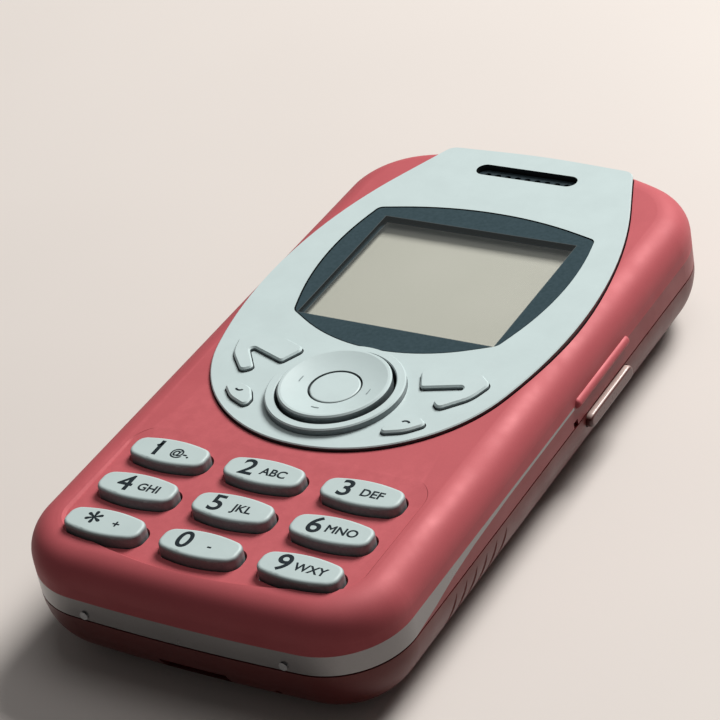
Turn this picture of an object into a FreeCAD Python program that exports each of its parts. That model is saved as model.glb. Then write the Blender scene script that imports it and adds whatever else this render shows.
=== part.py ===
import FreeCAD, Part
import math
import os

# Compact slider phone, closed, lying on its back.
# Units are millimetres. The origin is the middle of the rear rest plane,
# +Y runs along the phone to the earpiece end and +Z out of the front face.

# Overall size
body_length = 89.6
body_half_width = 22.8
body_height = 16.0
side_key_proud = 0.7

# Heights of the seams between the layers
face_z = body_height
shell_seam_z = 10.5
slide_gap = 0.2
upper_floor_z = 8.0
base_top_z = upper_floor_z - slide_gap

# Outline of the phone seen from the front
bottom_corner_r = 9.0
bottom_bow_run = 1.0
bottom_bow_turn = math.radians(2.6)
top_shoulder_r = 10.6
top_end_r = 44.0
face_edge_r = 3.6
rear_edge_r = 7.6

# Walls and general clearances
shell_wall = 1.5
skin = 2.0
fit = 0.12
run_fit = 0.05
press_gap = 0.06

# Face plate
plate_t = 1.15
plate_proud = 0.5
plate_low_x = 15.0
plate_low_y = -19.5
plate_low_r = 18.9
plate_side_x = 23.4
plate_side_y = 14.95
plate_side_r = 61.5
plate_top_x = 12.45
plate_top_y = 41.3
plate_top_r = 1.6
plate_top_rise = 0.7
plate_ledge = 0.9
plate_groove = 0.12
plate_key_rise = 0.5

# Display
window_t = 0.95
window_drop = 0.05
lcd_half_width = 13.6
lcd_bottom_y = 2.4
lcd_top_y = 26.2
lcd_top_z = 14.2
lcd_t = 1.3
light_guide_t = 0.4

# Navigation keys
nav_y = -9.8
nav_ring_r = 7.95
nav_ring_bore_r = 6.85
nav_ring_rise = 0.85
nav_disc_r = 6.45
nav_disc_rise = 1.45
nav_dish_r = 21.0
nav_button_r = 2.9
nav_button_rise = 0.8
nav_hole_r = 3.1
nav_pivot_z = 15.0
nav_carrier_r = 5.2
nav_pin_r = 0.3
nav_lug_t = 0.55

# Keypad
key_pitch_x = 12.12
key_pitch_y = 6.45
key_row_y = -25.3
key_length = 9.6
key_width = 4.2
key_belly = 0.7
key_gap = 0.25
key_rise = 0.5
key_edge_r = 0.42
key_flange = 0.55
key_flange_t = 0.6
key_travel = 0.4
pad_recess = 0.4
pad_shallow = 0.2
pad_half_width = 18.3
pad_top_y = -20.8
pad_shallow_y = -24.6
pad_corner_y = -38.45
pad_bottom_y = -43.6
pad_bow_r = 50.0
pad_corner_r = 3.2

# Earpiece
ear_y = 37.3
ear_length = 13.6
ear_width = 2.35
ear_mesh_drop = 0.75
ear_mesh_t = 0.85
ear_mesh_holes = 9
ear_mesh_pitch = 1.35
ear_mesh_hole_r = 0.4
ear_seat_half_length = 8.0
ear_seat_half_width = 2.0
ear_seat_drop = 2.2
ear_speaker_half_length = 6.5

# Layers inside the upper half
board_top_z = 12.4
board_t = 0.8
dome_t = 0.12
plate_key_flange_z = 14.1
floor_t = 1.0
screw_side_in = 3.0
screw_bottom_in = 10.7
screw_top_in = 20.8
screw_boss_r = 1.35
screw_post_r = 2.2
band_in = 0.9
band_full_run = 9.3
stud_x = 12.4
rib_half_length = 12.0
rib_t = 0.8

# Slide
slide_travel = 22.0
slider_y0 = -20.0
slider_length = 33.0
slider_half_width = 13.1
slider_t = 0.55
slider_pad_half_width = 10.6
rail_inner_x = 11.2
rail_outer_x = 14.0
rail_groove = 2.0
rail_lip = 0.3
leaf_half_width = 2.4
leaf_y0 = -17.0
leaf_length = 11.0
leaf_t = 0.15
leaf_bump_in = 0.9
leaf_bump_y = 6.0
leaf_bump_r = 0.9
leaf_bump_sunk = 0.65
ribbon_half_width = 2.4
ribbon_t = 0.2

# Base half
base_wall = 1.3
base_ledge = 0.9
base_floor_t = 1.3
deck_t = 1.2
base_board_top_z = 5.7
tray_t = 0.4
battery_half_width = 13.2
battery_bottom_in = 23.3
battery_top_in = 26.3
battery_z0 = 1.95
battery_t = 2.45
cover_half_width = 14.6
cover_below_battery = 4.0
cover_above_battery = 3.5
cover_t = 1.2
cover_travel = 3.2
base_inner_r = 5.0
base_screw_side_in = 8.4
base_screw_bottom_in = 9.3
base_screw_top_in = 13.8

# Small parts in the base half
motor_r = 1.45
motor_length = 8.0
motor_gap = 1.8
motor_z = 2.95
speaker_half_width = 7.0
speaker_length = 9.6
speaker_end_in = 8.3
sim_length = 15.0
sim_width = 6.2
sim_t = 1.2
mic_r = 0.85
mic_length = 1.5
mic_end_in = 4.7
mic_x = 10.0
mic_z = 3.4
port_half_width = 4.2
port_z0 = 2.6
port_wall = 0.6
port_depth = 5.6
antenna_arm_t = 1.4
antenna_side_in = 12.4
grip_count = 6
grip_pitch = 2.3
grip_y = -27.9
grip_z = 4.6
grip_half_length = 3.4
grip_half_width = 0.32

# Side key
side_key_y0 = 4.2
side_key_y1 = 15.2
side_key_z = 6.8
side_key_width = 1.75
side_key_cap_t = 0.75
side_key_stem_t = 0.45
side_key_travel = 0.4
lip_y0 = 2.4
lip_y1 = 15.8
lip_r = 0.65
lip_sunk = 0.15

# Keys on the base deck
deck_key_y = -34.2
deck_key_rise = 0.42
deck_key_recess = 0.5
deck_key_travel = 0.3
deck_mat_half_length = 18.6
deck_mat_half_width = 3.4

os.makedirs("parts", exist_ok=True)
V = FreeCAD.Vector
half_length = body_length / 2.0
shell_top_z = face_z - plate_proud
battery_y0 = battery_bottom_in - half_length
battery_y1 = half_length - battery_top_in
cover_y0 = battery_y0 - cover_below_battery
cover_y1 = battery_y1 + cover_above_battery
motor_y0 = battery_y1 + motor_gap
made = {}


def box(x0, x1, y0, y1, z0, z1):
    return Part.makeBox(x1 - x0, y1 - y0, z1 - z0, V(x0, y0, z0))


def cyl(x, y, z0, z1, r):
    return Part.makeCylinder(r, z1 - z0, V(x, y, z0))


def offset_points(points, d):
    # moves each edge of a rounded polygon inward by d, and keeps its arcs concentric
    n = len(points)
    out = []
    for i in range(n):
        ax, ay, _ = points[i - 1]
        bx, by, r = points[i]
        cx, cy, _ = points[(i + 1) % n]
        e1 = V(bx - ax, by - ay, 0).normalize()
        e2 = V(cx - bx, cy - by, 0).normalize()
        n1 = V(-e1.y, e1.x, 0)
        n2 = V(-e2.y, e2.x, 0)
        turn = e1.x * e2.y - e1.y * e2.x
        s = d / (1.0 + n1.dot(n2))
        x = bx + (n1.x + n2.x) * s
        y = by + (n1.y + n2.y) * s
        out.append((x, y, r - d if turn > 0 else r + d))
    return out


def rounded_wire(points, z):
    # a closed wire of straight runs and tangent arcs; points run anticlockwise as (x, y, radius)
    n = len(points)
    ends = []
    for i in range(n):
        ax, ay, _ = points[i - 1]
        bx, by, r = points[i]
        cx, cy, _ = points[(i + 1) % n]
        b = V(bx, by, z)
        e1 = (V(ax, ay, z) - b).normalize()
        e2 = (V(cx, cy, z) - b).normalize()
        ang = e1.getAngle(e2)
        if r <= 0.001 or ang > math.pi - 0.001:
            ends.append((b, None, b))
            continue
        t = r / math.tan(ang / 2.0)
        mid = (e1 + e2).normalize()
        centre = b + mid * (r / math.sin(ang / 2.0))
        ends.append((b + e1 * t, centre - mid * r, b + e2 * t))
    edges = []
    for i in range(n):
        p0, pm, p1 = ends[i]
        if pm is not None:
            edges.append(Part.Arc(p0, pm, p1).toShape())
        q = ends[(i + 1) % n][0]
        if p1.distanceToPoint(q) > 1e-5:
            edges.append(Part.LineSegment(p1, q).toShape())
    return Part.Wire(Part.__sortEdges__(edges))


def prism(points, z0, z1, d=0.0):
    pts = offset_points(points, d) if d else points
    face = Part.Face(rounded_wire(pts, z0))
    return face.extrude(V(0, 0, z1 - z0))


def edges_at(shape, z, tol=1e-4):
    found = []
    for e in shape.Edges:
        bb = e.BoundBox
        if abs(bb.ZMin - z) < tol and abs(bb.ZMax - z) < tol:
            found.append(e)
    return found


def round_at(shape, z, r):
    return shape.makeFillet(r, edges_at(shape, z))


def bevel_at(shape, z, d):
    return shape.makeChamfer(d, edges_at(shape, z))


def fuse(shapes):
    body = shapes[0]
    if len(shapes) > 1:
        body = body.multiFuse(shapes[1:])
    return body.removeSplitter()


def rect(x0, x1, y0, y1, r):
    return [(x0, y0, r), (x1, y0, r), (x1, y1, r), (x0, y1, r)]


def stadium(cx, cy, length, width):
    r = width / 2.0 - 0.02
    return rect(cx - length / 2.0, cx + length / 2.0, cy - width / 2.0, cy + width / 2.0, r)


def lens(cx, cy, length, width, belly):
    # a key outline: rounded ends and bowed long sides, each bow an arc over three quarters of its side
    hl = length / 2.0
    hw = width / 2.0 + 0.6 * belly
    end = width / 2.0 - belly
    ends_r = end - 0.04
    bow_r = 0.75 * hl * hl / (hw - end)
    return [(cx - hl, cy - end, ends_r), (cx, cy - hw, bow_r), (cx + hl, cy - end, ends_r),
            (cx + hl, cy + end, ends_r), (cx, cy + hw, bow_r), (cx - hl, cy + end, ends_r)]


def mirrored(points):
    # the right half of an outline, bottom to top, made whole about x = 0
    left = [(-x, y, r) for x, y, r in reversed(points) if x > 0.001]
    return [p for p in points] + left


def flip(points):
    return [(-x, y, r) for x, y, r in reversed(points)]


def put(name, shape):
    made[name] = shape


# Outline of the body
shoulder_turn = math.asin((body_half_width - top_shoulder_r) / (top_end_r - top_shoulder_r))
arc_y = half_length - top_end_r
join_x = top_end_r * math.sin(shoulder_turn)
join_y = arc_y + top_end_r * math.cos(shoulder_turn)
shoulder_y = join_y - (body_half_width - join_x) * math.tan(shoulder_turn)
crest_y = join_y + join_x * math.tan(shoulder_turn)
bow_half = body_half_width - bottom_corner_r * (1.0 - math.sin(bottom_bow_turn)) - bottom_bow_run
bottom_bow_r = bow_half / math.sin(bottom_bow_turn)
bow_y = -half_length - bottom_bow_r * (1.0 / math.cos(bottom_bow_turn) - 1.0)
corner_y = bow_y + body_half_width * math.tan(bottom_bow_turn)
outline = mirrored([
    (0.0, bow_y, bottom_bow_r),
    (body_half_width, corner_y, bottom_corner_r),
    (body_half_width, shoulder_y, top_shoulder_r),
    (0.0, crest_y, top_end_r),
])

# Outline of the face plate
plate_outline = mirrored([
    (plate_low_x, plate_low_y, plate_low_r),
    (plate_side_x, plate_side_y, plate_side_r),
    (plate_top_x, plate_top_y, plate_top_r),
    (0.0, plate_top_y + plate_top_rise, 90.0),
])

# Outline of the display window
window_outline = mirrored([
    (0.0, -4.6, 21.0),
    (13.3, 3.4, 1.5),
    (16.8, 14.9, 38.0),
    (14.5, 26.1, 0.9),
    (0.0, 30.1, 45.0),
])

# Outlines of the keys in the face plate
soft_right = [
    (9.0, -6.7, 0.45),
    (12.6, -5.45, 6.0),
    (14.5, -4.8, 0.4),
    (11.5, -8.6, 0.55),
    (12.7, -9.6, 0.7),
    (15.4, -6.8, 4.0),
    (16.3, -3.9, 1.0),
    (14.7, -2.6, 1.2),
    (11.3, -2.3, 6.0),
    (7.5, -3.7, 0.8),
]
end_right = [
    (8.5, -15.45, 0.55),
    (11.2, -14.35, 4.0),
    (13.0, -12.5, 0.6),
    (11.7, -11.6, 0.7),
    (9.7, -12.05, 2.0),
    (8.5, -13.9, 0.7),
]

# Solids that the two halves are cut from
upper_block = round_at(prism(outline, shell_seam_z, shell_top_z), shell_top_z, face_edge_r)
frame_block = prism(outline, upper_floor_z, shell_seam_z)
base_block = round_at(prism(outline, 0.0, base_top_z), 0.0, rear_edge_r)

# Front shell: red skin with an oval opening, nine key holes and a keypad recess that deepens downwards
cavity_top = face_z - skin
cavity = round_at(prism(outline, shell_seam_z - 1.0, cavity_top, shell_wall), cavity_top, 1.2)
opening = prism(plate_outline, shell_seam_z, face_z + 1.0, plate_ledge)
seat = prism(plate_outline, face_z - plate_t - 0.02, face_z + 1.0, -plate_groove)
pad_zone = [(-pad_half_width, pad_corner_y, pad_corner_r), (0, pad_bottom_y, pad_bow_r),
            (pad_half_width, pad_corner_y, pad_corner_r), (pad_half_width, pad_top_y, pad_corner_r),
            (-pad_half_width, pad_top_y, pad_corner_r)]
pad_floor_z = shell_top_z - pad_recess
pad_rims = [rounded_wire(pad_zone, pad_floor_z),
            rounded_wire(offset_points(pad_zone, -2 * pad_recess), pad_floor_z + 2 * pad_recess)]
pad_slope = Part.Face(Part.makePolygon([
    V(-30, pad_top_y, shell_top_z),
    V(-30, pad_shallow_y, shell_top_z - pad_shallow),
    V(-30, pad_bottom_y, pad_floor_z),
    V(-30, pad_bottom_y, face_z),
    V(-30, pad_top_y, face_z),
    V(-30, pad_top_y, shell_top_z),
]))
pad_cut = Part.makeLoft(pad_rims, True, True).common(pad_slope.extrude(V(60, 0, 0)))
front = upper_block.cut(cavity).cut(opening).cut(seat).cut(pad_cut)
key_names = (("key_1", "key_2", "key_3"), ("key_4", "key_5", "key_6"), ("key_star", "key_0", "key_9"))
key_places = {}
for row in range(3):
    for col in range(3):
        key_places[key_names[row][col]] = ((col - 1) * key_pitch_x, key_row_y - row * key_pitch_y)
for kx, ky in key_places.values():
    hole = lens(kx, ky, key_length, key_width, key_belly)
    front = front.cut(prism(hole, cavity_top - 1, face_z + 1, -key_gap))
lip_start = V(body_half_width - lip_sunk, lip_y0, shell_seam_z)
lip = Part.makeCylinder(lip_r, lip_y1 - lip_y0, lip_start, V(0, 1, 0))
lip = lip.makeFillet(0.45, [e for e in lip.Edges if e.BoundBox.YLength < 0.001])
lip = lip.common(box(body_half_width - 1.2, 30, -50, 50, 0, face_z))
lip = lip.cut(prism(outline, 0, shell_seam_z, -0.02))
front = fuse([front, lip])
put("front_shell", front)

# Face plate: stands a little proud of the shell
plate = bevel_at(prism(plate_outline, face_z - plate_t, face_z), face_z, 0.12)
plate = plate.cut(prism(window_outline, face_z - 3, face_z + 1, -0.08))
plate = plate.cut(prism(stadium(0, ear_y, ear_length, ear_width), face_z - 3, face_z + 1))
plate = plate.cut(cyl(0, nav_y, face_z - 3, face_z + 1, nav_ring_r + 0.03))
for pts in (soft_right, flip(soft_right), end_right, flip(end_right)):
    plate = plate.cut(prism(pts, face_z - 3, face_z + 1, -fit))
put("face_plate", plate)

# Display: window, frame, panel and light guide, stacked on the circuit board
window = prism(window_outline, face_z - window_drop - window_t, face_z - window_drop)
put("display_window", bevel_at(window, face_z - window_drop, 0.12))
window_bottom = face_z - window_drop - window_t
frame_rect = rect(-lcd_half_width - 1.3, lcd_half_width + 1.3, lcd_bottom_y - 1.0, lcd_top_y + 1.0, 1.0)
lcd_rect = rect(-lcd_half_width, lcd_half_width, lcd_bottom_y, lcd_top_y, 0.3)
lcd_frame = prism(frame_rect, board_top_z, window_bottom)
lcd_frame = lcd_frame.cut(prism(lcd_rect, board_top_z - 1, window_bottom + 1, -run_fit))
lcd_frame = lcd_frame.common(opening)
round_window = box(-30, 30, -30, 50, face_z - plate_t - 0.02, 30).cut(prism(window_outline, 0, 40, 0.1))
lcd_frame = lcd_frame.cut(round_window)
put("lcd_frame", lcd_frame)
put("lcd_panel", prism(lcd_rect, lcd_top_z - lcd_t, lcd_top_z))
put("light_guide", prism(lcd_rect, board_top_z, board_top_z + light_guide_t, 0.6))

# Earpiece: mesh behind the slot, and its speaker on the board
mesh_top = face_z - ear_mesh_drop
ear_seat_z = face_z - ear_seat_drop
grille = prism(stadium(0, ear_y, ear_length - 2 * fit, ear_width - 2 * fit), mesh_top - ear_mesh_t, mesh_top)
grille_seat = box(-ear_seat_half_length, ear_seat_half_length, ear_y - ear_seat_half_width,
                  ear_y + ear_seat_half_width, ear_seat_z, face_z - plate_t - 0.02)
grille = fuse([grille, grille_seat])
grille = grille.common(opening)
for i in range(ear_mesh_holes):
    hole_x = (i - (ear_mesh_holes - 1) / 2.0) * ear_mesh_pitch
    grille = grille.cut(cyl(hole_x, ear_y, 10, 20, ear_mesh_hole_r))
put("earpiece_grille", grille)
speaker_rect = rect(-ear_speaker_half_length, ear_speaker_half_length,
                    ear_y - ear_seat_half_width - 0.6, ear_y + ear_seat_half_width + 0.2, 2.0)
put("earpiece_speaker", prism(speaker_rect, board_top_z, ear_seat_z))

# Navigation: fixed ring, two-way tilting disc on its carrier, and the middle button
ring_flange_z = face_z - plate_t
ring_profile = [
    (nav_ring_bore_r, plate_key_flange_z + 0.1),
    (nav_ring_r + 0.8, plate_key_flange_z + 0.1),
    (nav_ring_r + 0.8, ring_flange_z),
    (nav_ring_r, ring_flange_z),
    (nav_ring_r, face_z + nav_ring_rise - 0.15),
    (nav_ring_r - 0.15, face_z + nav_ring_rise),
    (nav_ring_bore_r + 0.12, face_z + nav_ring_rise),
    (nav_ring_bore_r, face_z + nav_ring_rise - 0.12),
]


def revolve(profile, y):
    pts = [V(r, y, z) for r, z in profile]
    pts.append(pts[0])
    face = Part.Face(Part.makePolygon(pts))
    return face.revolve(V(0, y, 0), V(0, 0, 1), 360)


def along_x(x0, x1, r):
    return Part.makeCylinder(r, x1 - x0, V(x0, nav_y, nav_pivot_z), V(1, 0, 0))


def along_y(y0, y1, r):
    return Part.makeCylinder(r, y1 - y0, V(0, nav_y + y0, nav_pivot_z), V(0, 1, 0))


ring = revolve(ring_profile, nav_y)
pin_end = nav_ring_bore_r + 0.45
socket_end = pin_end + 0.1
ring = ring.cut(along_x(-socket_end, socket_end, nav_pin_r + 0.04))
put("nav_ring", ring)
disc_top = face_z + nav_disc_rise
disc_profile = [
    (nav_hole_r, nav_pivot_z + 0.65),
    (nav_disc_r, nav_pivot_z + 0.65),
    (nav_disc_r, disc_top - 0.18),
    (nav_disc_r - 0.18, disc_top),
    (nav_hole_r, disc_top),
]
dish_r = nav_disc_r - 0.45
dish_height = math.sqrt(nav_dish_r ** 2 - dish_r ** 2)
lug_out = nav_disc_r - 0.05
lug_in = lug_out - nav_lug_t
disc_parts = [revolve(disc_profile, nav_y)]
for y0, y1 in ((lug_in, lug_out), (-lug_out, -lug_in)):
    lug = box(-0.7, 0.7, nav_y + y0, nav_y + y1, nav_pivot_z - 0.5, nav_pivot_z + 0.75)
    disc_parts.append(lug.common(cyl(0, nav_y, 0, 30, lug_out)))
disc = fuse(disc_parts)
disc = disc.cut(Part.makeSphere(nav_dish_r, V(0, nav_y, disc_top + dish_height)))
disc = disc.cut(along_y(-lug_out - 1, -lug_in + 0.1, nav_pin_r + 0.04))
disc = disc.cut(along_y(lug_in - 0.1, lug_out + 1, nav_pin_r + 0.04))
put("nav_disc", disc)
carrier_bottom_z = nav_pivot_z - 0.65
carrier_profile = [
    (nav_hole_r + 0.3, carrier_bottom_z),
    (nav_carrier_r, carrier_bottom_z),
    (nav_carrier_r, nav_pivot_z + 0.25),
    (nav_hole_r + 0.3, nav_pivot_z + 0.25),
]
pins = [
    revolve(carrier_profile, nav_y),
    along_x(-pin_end, -nav_carrier_r + 0.4, nav_pin_r),
    along_x(nav_carrier_r - 0.4, pin_end, nav_pin_r),
    along_y(-lug_out + 0.02, -nav_carrier_r + 0.4, nav_pin_r),
    along_y(nav_carrier_r - 0.4, lug_out - 0.02, nav_pin_r),
]
put("nav_carrier", fuse(pins))
button_top = face_z + nav_button_rise
button = cyl(0, nav_y, plate_key_flange_z + 0.55, button_top, nav_button_r)
put("center_button", round_at(button, button_top, 0.2))


# Keys in the face plate, each with a flange under the plate
def plate_key(pts, name):
    cap = prism(pts, plate_key_flange_z, face_z + plate_key_rise)
    cap = bevel_at(cap, face_z + plate_key_rise, 0.2)
    wide = prism(pts, plate_key_flange_z, face_z - plate_t - press_gap, -0.4)
    wide = wide.common(prism(plate_outline, 0, 30, plate_ledge + 0.15))
    wide = wide.cut(cyl(0, nav_y, 0, 30, nav_ring_r + 0.95))
    wide = wide.cut(box(-30, 30, lcd_bottom_y - 1.2, 30, 0, 30))
    put(name, fuse([cap, wide]))


plate_key(soft_right, "soft_key_right")
plate_key(flip(soft_right), "soft_key_left")
plate_key(end_right, "end_key")
plate_key(flip(end_right), "call_key")

# Number keys: bowed caps with a flange under the shell
flange_top = cavity_top - press_gap
flange_bottom = flange_top - key_flange_t
for name, (kx, ky) in key_places.items():
    shape_pts = lens(kx, ky, key_length, key_width, key_belly)
    cap = prism(shape_pts, flange_bottom, face_z + key_rise)
    cap = round_at(cap, face_z + key_rise, key_edge_r)
    wide = prism(shape_pts, flange_bottom, flange_top, -key_flange)
    put(name, fuse([cap, wide]))

# Rubber mat, dome sheet and board under all the keys
mat_bottom = board_top_z + dome_t
mat_top = flange_bottom - key_travel - run_fit
pad_top = plate_key_flange_z - key_travel - run_fit
mat_area = prism(outline, mat_bottom, mat_top, shell_wall + 1.2)
mat_area = mat_area.common(box(-30, 30, -60, lcd_bottom_y - 1.3, 0, 30))
blocks = [mat_area]
for pts in (soft_right, flip(soft_right), end_right, flip(end_right)):
    blocks.append(prism(pts, mat_bottom, pad_top))
blocks.append(cyl(0, nav_y, mat_bottom, carrier_bottom_z - 0.32, nav_disc_r - 0.2))
mat = fuse(blocks)
screw_x = body_half_width - screw_side_in
screw_y = (-half_length + screw_bottom_in, half_length - screw_top_in)
screw_spots = [(sx, sy) for sy in screw_y for sx in (-screw_x, screw_x)]
boss_r = screw_boss_r
for sx, sy in screw_spots:
    mat = mat.cut(cyl(sx, sy, 0, 30, boss_r + 0.1))
mat = mat.cut(cyl(0, nav_y, plate_key_flange_z + 0.55 - key_travel - run_fit, 30, nav_button_r + 0.3))
put("keypad_mat", mat)
dome_area = prism(outline, board_top_z, mat_bottom, shell_wall + 1.6)
dome_area = dome_area.common(box(-30, 30, -60, lcd_bottom_y - 1.3, 0, 30))
for sx, sy in screw_spots:
    dome_area = dome_area.cut(cyl(sx, sy, 0, 30, boss_r + 0.1))
put("dome_sheet", dome_area)
board_bottom_z = board_top_z - board_t
board = prism(outline, board_bottom_z, board_top_z, shell_wall + 0.25)
for sx, sy in screw_spots:
    board = board.cut(cyl(sx, sy, 0, 30, boss_r + 0.1))
put("upper_board", board)

# Middle frame: side wall and floor of the upper half
frame_body = frame_block.cut(prism(outline, upper_floor_z + floor_t, shell_seam_z + 1, shell_wall))
posts = []
for sx, sy in screw_spots:
    posts.append(cyl(sx, sy, upper_floor_z + floor_t - 0.1, board_bottom_z, screw_post_r))
for part in (-0.62, -0.13, 0.31, 0.71):
    y = part * half_length
    posts.append(box(-rib_half_length, rib_half_length, y - rib_t / 2.0, y + rib_t / 2.0,
                     upper_floor_z + floor_t - 0.1, board_bottom_z))
clear_in = prism(outline, shell_seam_z, board_bottom_z + 1, shell_wall + run_fit)
post_zone = fuse([prism(outline, upper_floor_z, shell_seam_z, 0.5), clear_in])
posts = [post.common(post_zone) for post in posts]
frame_body = fuse([frame_body] + posts)
for sx, sy in screw_spots:
    frame_body = frame_body.cut(cyl(sx, sy, 0, 30, 0.55))
    frame_body = frame_body.cut(cyl(sx, sy, 0, upper_floor_z + 0.75, 1.15))

# Silver band: full height round the bottom end, thinning to a line along both sides
band_end_y = lip_y0 - 0.4
band_full_y = band_full_run - half_length
taper = [
    V(0, -60, upper_floor_z - 1),
    V(0, band_full_y, upper_floor_z - 1),
    V(0, band_full_y, upper_floor_z),
    V(0, band_full_y + 4.5, shell_seam_z - 1.95),
    V(0, band_full_y + 8.5, shell_seam_z - 1.25),
    V(0, band_full_y + 13.5, shell_seam_z - 0.75),
    V(0, band_full_y + 21.5, shell_seam_z - 0.45),
    V(0, band_end_y, shell_seam_z - 0.35),
    V(0, band_end_y, shell_seam_z),
    V(0, -60, shell_seam_z),
    V(0, -60, upper_floor_z - 1),
]
taper_face = Part.Face(Part.makePolygon([p + V(-30, 0, 0) for p in taper]))
taper_cut = taper_face.extrude(V(60, 0, 0))
ring_zone = prism(outline, upper_floor_z, shell_seam_z).cut(prism(outline, 0, 30, band_in))
band = ring_zone.common(taper_cut)
frame_body = frame_body.cut(band)


def side_prism(length, width, x0, x1):
    # a stadium lying along Y and pushed out along X at the height of the side key
    face = Part.Face(rounded_wire(stadium(0, 0, length, width), 0.0))
    solid = face.extrude(V(0, 0, x1 - x0))
    solid.rotate(V(0, 0, 0), V(0, 0, 1), 90)
    solid.rotate(V(0, 0, 0), V(0, 1, 0), 90)
    solid.translate(V(x0, (side_key_y0 + side_key_y1) / 2.0, side_key_z))
    return solid


notch = box(body_half_width - 0.5, 30, lip_y0 - 1.0, lip_y0, upper_floor_z - 1, upper_floor_z + 0.7)
frame_body = frame_body.cut(notch)
put("mid_frame", frame_body)

# Two small studs in the band at the bottom end
studs = []
for sx in (-stud_x, stud_x):
    at = V(sx, -half_length + 1.5, upper_floor_z + 0.65)
    studs.append(Part.makeCylinder(0.5, 1.45, at, V(0, -1, 0)))
stud_pair = Part.makeCompound(studs)
for s in studs:
    band = band.cut(s)
    made["mid_frame"] = made["mid_frame"].cut(s)
put("trim_band", band)
put("end_studs", stud_pair)

# Screws of the upper half
screws = []
for sx, sy in screw_spots:
    head = cyl(sx, sy, upper_floor_z + 0.1, upper_floor_z + 0.7, 1.0)
    shank = cyl(sx, sy, upper_floor_z + 0.6, board_bottom_z + 1.6, 0.5)
    head = head.cut(box(sx - 0.8, sx + 0.8, sy - 0.13, sy + 0.13, 0, upper_floor_z + 0.35))
    head = head.cut(box(sx - 0.13, sx + 0.13, sy - 0.8, sy + 0.8, 0, upper_floor_z + 0.35))
    screws.append(fuse([head, shank]))
put("upper_screws", Part.makeCompound(screws))
bosses = []
for sx, sy in screw_spots:
    boss = cyl(sx, sy, board_bottom_z, cavity_top + 0.2, boss_r)
    bosses.append(boss.cut(cyl(sx, sy, 0, board_bottom_z + 1.65, 0.55)))
made["front_shell"] = fuse([made["front_shell"]] + bosses)

# Slide: steel plate under the upper half, running in two grooved rails in the base
pan_bottom_z = base_top_z - 1.65
pan_floor_z = pan_bottom_z + 0.4
slider_z = pan_floor_z + rail_lip + run_fit
slider_y1 = slider_y0 + slider_length
slider_rect = rect(-slider_half_width, slider_half_width, slider_y0, slider_y1, 0.8)
slider = prism(slider_rect, slider_z, slider_z + slider_t)
pad = prism(rect(-slider_pad_half_width, slider_pad_half_width, slider_y0 + 1, slider_y1 - 1, 1.2),
            slider_z, upper_floor_z)
slider = fuse([slider, pad])
slider_spots = [(sx, sy) for sx in (-8.0, 8.0) for sy in (slider_y0 + 4.0, slider_y1 - 4.0)]
pins = []
for sx, sy in slider_spots:
    slider = slider.cut(cyl(sx, sy, 0, upper_floor_z + 1, 0.62))
    slider = slider.cut(cyl(sx, sy, 0, slider_z + 0.5, 1.1))
    made["mid_frame"] = made["mid_frame"].cut(cyl(sx, sy, 0, upper_floor_z + floor_t + 0.5, 0.62))
    head = cyl(sx, sy, slider_z + 0.05, slider_z + 0.5, 1.0)
    pins.append(fuse([head, cyl(sx, sy, slider_z + 0.3, upper_floor_z + floor_t, 0.5)]))
put("slider_screws", Part.makeCompound(pins))
slot_hole = rect(-3.5, 3.5, slider_y0 + 9, slider_y1 - 9, 1.0)
slider = slider.cut(prism(slot_hole, 0, upper_floor_z + 1))
put("slider_plate", slider)

rail_y0 = slider_y0 - 0.1
rail_y1 = slider_y1 + slide_travel + 0.1
for side, name in ((-1, "guide_rail_left"), (1, "guide_rail_right")):
    rail = box(rail_inner_x, rail_outer_x, rail_y0, rail_y1, pan_floor_z, base_top_z - 0.08)
    rail = rail.cut(box(0, rail_inner_x + rail_groove, rail_y0 - 1, rail_y1 + 1,
                        slider_z - run_fit, slider_z + slider_t + run_fit))
    if side < 0:
        rail = rail.mirror(V(0, 0, 0), V(1, 0, 0))
    put(name, rail)

# Base deck: top face of the base half, with the slide's pan and a shallow key recess
deck_bottom = base_top_z - deck_t
deck = prism(outline, deck_bottom, base_top_z, base_wall)
pan_rect = rect(-rail_outer_x - 0.02, rail_outer_x + 0.02, rail_y0 - 0.02, rail_y1 + 0.02, 0.0)
pan_outer = rect(-rail_outer_x - 0.8, rail_outer_x + 0.8, rail_y0 - 0.8, rail_y1 + 0.8, 0.6)
deck = fuse([deck, prism(pan_outer, pan_bottom_z, base_top_z)])
deck = deck.cut(prism(pan_rect, pan_floor_z, base_top_z + 1))
key_zone = rect(-pad_half_width, pad_half_width, deck_key_y - 4.2, deck_key_y + 4.2, 2.4)
deck = deck.cut(prism(key_zone, base_top_z - deck_key_recess, base_top_z + 1))
deck_names = ("key_7", "key_8", "key_hash")
deck_keys = [(name, (i - 1) * key_pitch_x) for i, name in enumerate(deck_names)]
for _, kx in deck_keys:
    deck = deck.cut(prism(stadium(kx, deck_key_y, key_length + 2 * fit, key_width + 2 * fit), 0, 30))
deck = deck.cut(prism(rect(-3.0, 3.0, 0.0, 6.0, 0.5), 0, base_top_z))
put("base_deck", deck)

# Spring leaf that holds the slide at either end
leaf = box(-leaf_half_width, leaf_half_width, leaf_y0, leaf_y0 + leaf_length,
           pan_floor_z, pan_floor_z + leaf_t)
bump_x = -leaf_half_width + leaf_bump_in
bump_y = leaf_y0 + leaf_bump_y
bump_start = V(bump_x, bump_y, pan_floor_z - leaf_bump_sunk)
bump = Part.makeCylinder(leaf_bump_r, -2.0 * bump_x, bump_start, V(1, 0, 0))
leaf = fuse([leaf, bump.common(box(-30, 30, -30, 30, pan_floor_z + leaf_t / 3.0, 30))])
put("detent_spring", leaf)

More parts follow.
